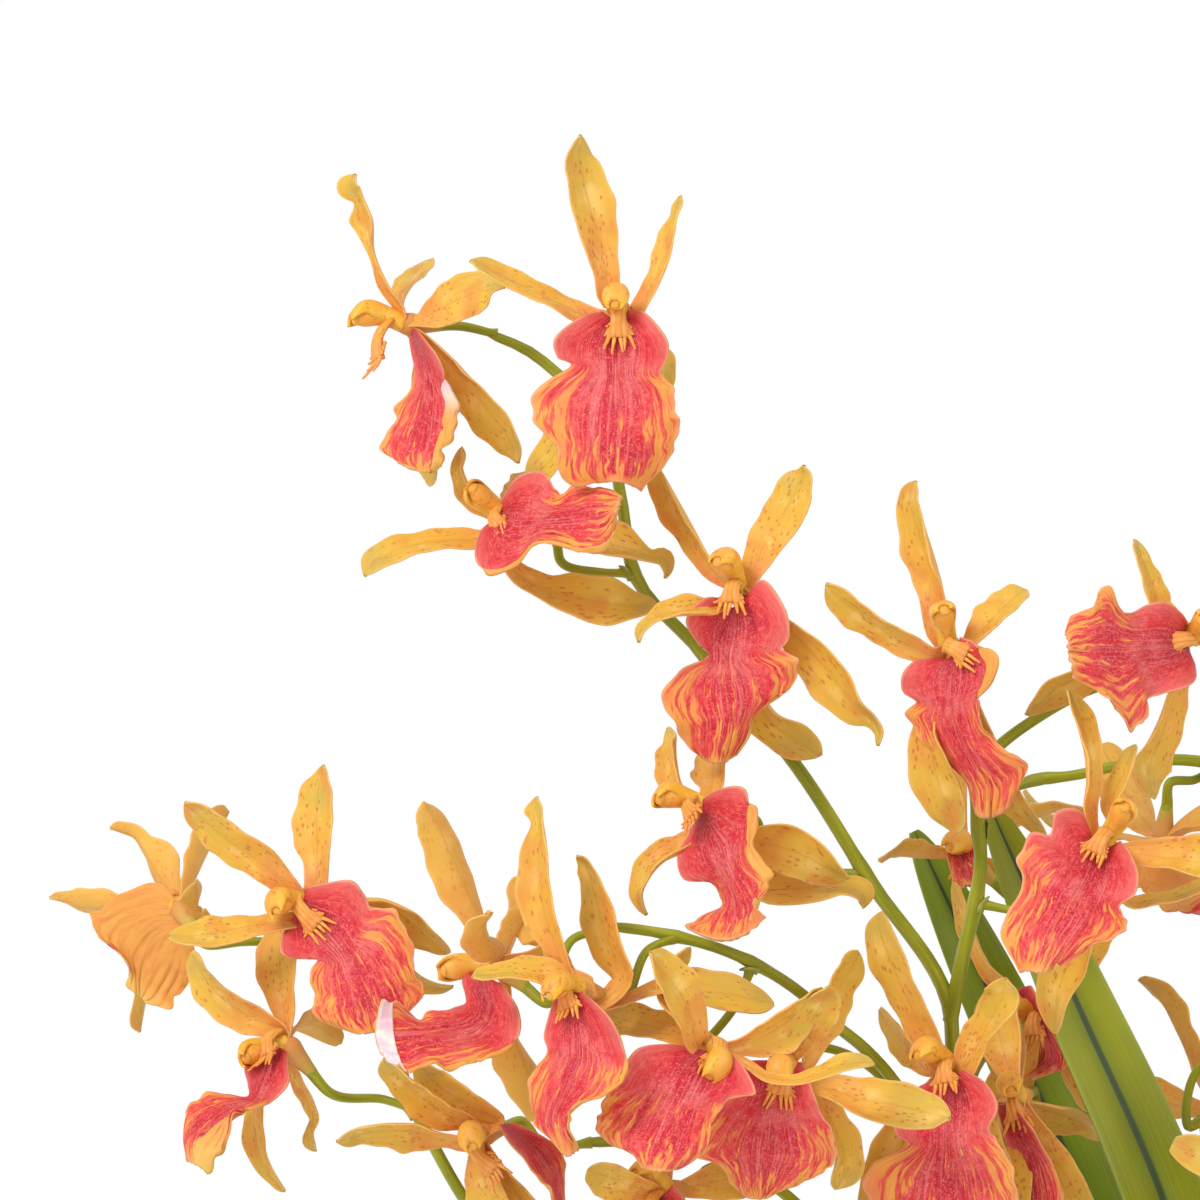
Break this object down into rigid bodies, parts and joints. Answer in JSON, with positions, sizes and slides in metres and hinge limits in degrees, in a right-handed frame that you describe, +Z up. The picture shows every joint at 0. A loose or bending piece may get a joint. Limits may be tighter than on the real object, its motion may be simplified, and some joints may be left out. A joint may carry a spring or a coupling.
{
  "type": "potted dendrobium orchid",
  "caption": "Orchid plant in flower in a plain round pot: strap leaves and arching sprays of amber spidery blooms with broad raspberry lips, for display on a table.",
  "frame": {"origin": "centre of the pot's flat foot, on the surface that it stands on", "axes": "+Z up the plant; the blooms face -Y; +X is to the right of someone who looks at them"},
  "size_m": [0.472, 0.2078, 0.5865],
  "materials": {
    "tepal": "satin",
    "lip": "satin",
    "stem": "satin",
    "leaf": "satin",
    "pot": "satin",
    "bark": "matte"
  },
  "bodies": {
    "root": {"tepals_a1": "tepal", "tepals_a2": "tepal", "tepals_a3": "tepal", "tepals_a4": "tepal", "tepals_a5": "tepal", "tepals_a6": "tepal", "tepals_a7": "tepal", "tepals_a8": "tepal", "tepals_b1": "tepal", "tepals_b2": "tepal", "tepals_b3": "tepal", "tepals_c1": "tepal", "tepals_c2": "tepal", "tepals_c3": "tepal", "tepals_c4": "tepal", "tepals_d1": "tepal", "tepals_d2": "tepal", "tepals_d3": "tepal", "lip_a1": "lip", "lip_a2": "lip", "lip_a3": "lip", "lip_a4": "lip", "lip_a5": "lip", "lip_a6": "lip", "lip_a7": "lip", "lip_a8": "lip", "lip_b1": "lip", "lip_b2": "lip", "lip_b3": "lip", "lip_c1": "lip", "lip_c2": "lip", "lip_c3": "lip", "lip_c4": "lip", "lip_d1": "lip", "lip_d2": "lip", "lip_d3": "lip", "lip_e1": "lip", "lip_e2": "lip", "lip_f1": "lip", "lip_f2": "lip", "lip_f3": "lip", "lip_f4": "lip", "lip_f5": "lip", "lip_g1": "lip", "lip_g2": "lip", "lip_g3": "lip", "lip_g4": "lip", "stem_a": "stem", "stem_c": "stem", "stem_d": "stem", "spray_e": "tepal", "spray_f": "tepal", "spray_g": "tepal", "leaf_front_left": "leaf", "leaf_back_left": "leaf", "leaf_right": "leaf", "leaf_back_right": "leaf", "leaf_front_right": "leaf", "pot": "pot", "bark_fill": "bark"}
  },
  "joints": []
}
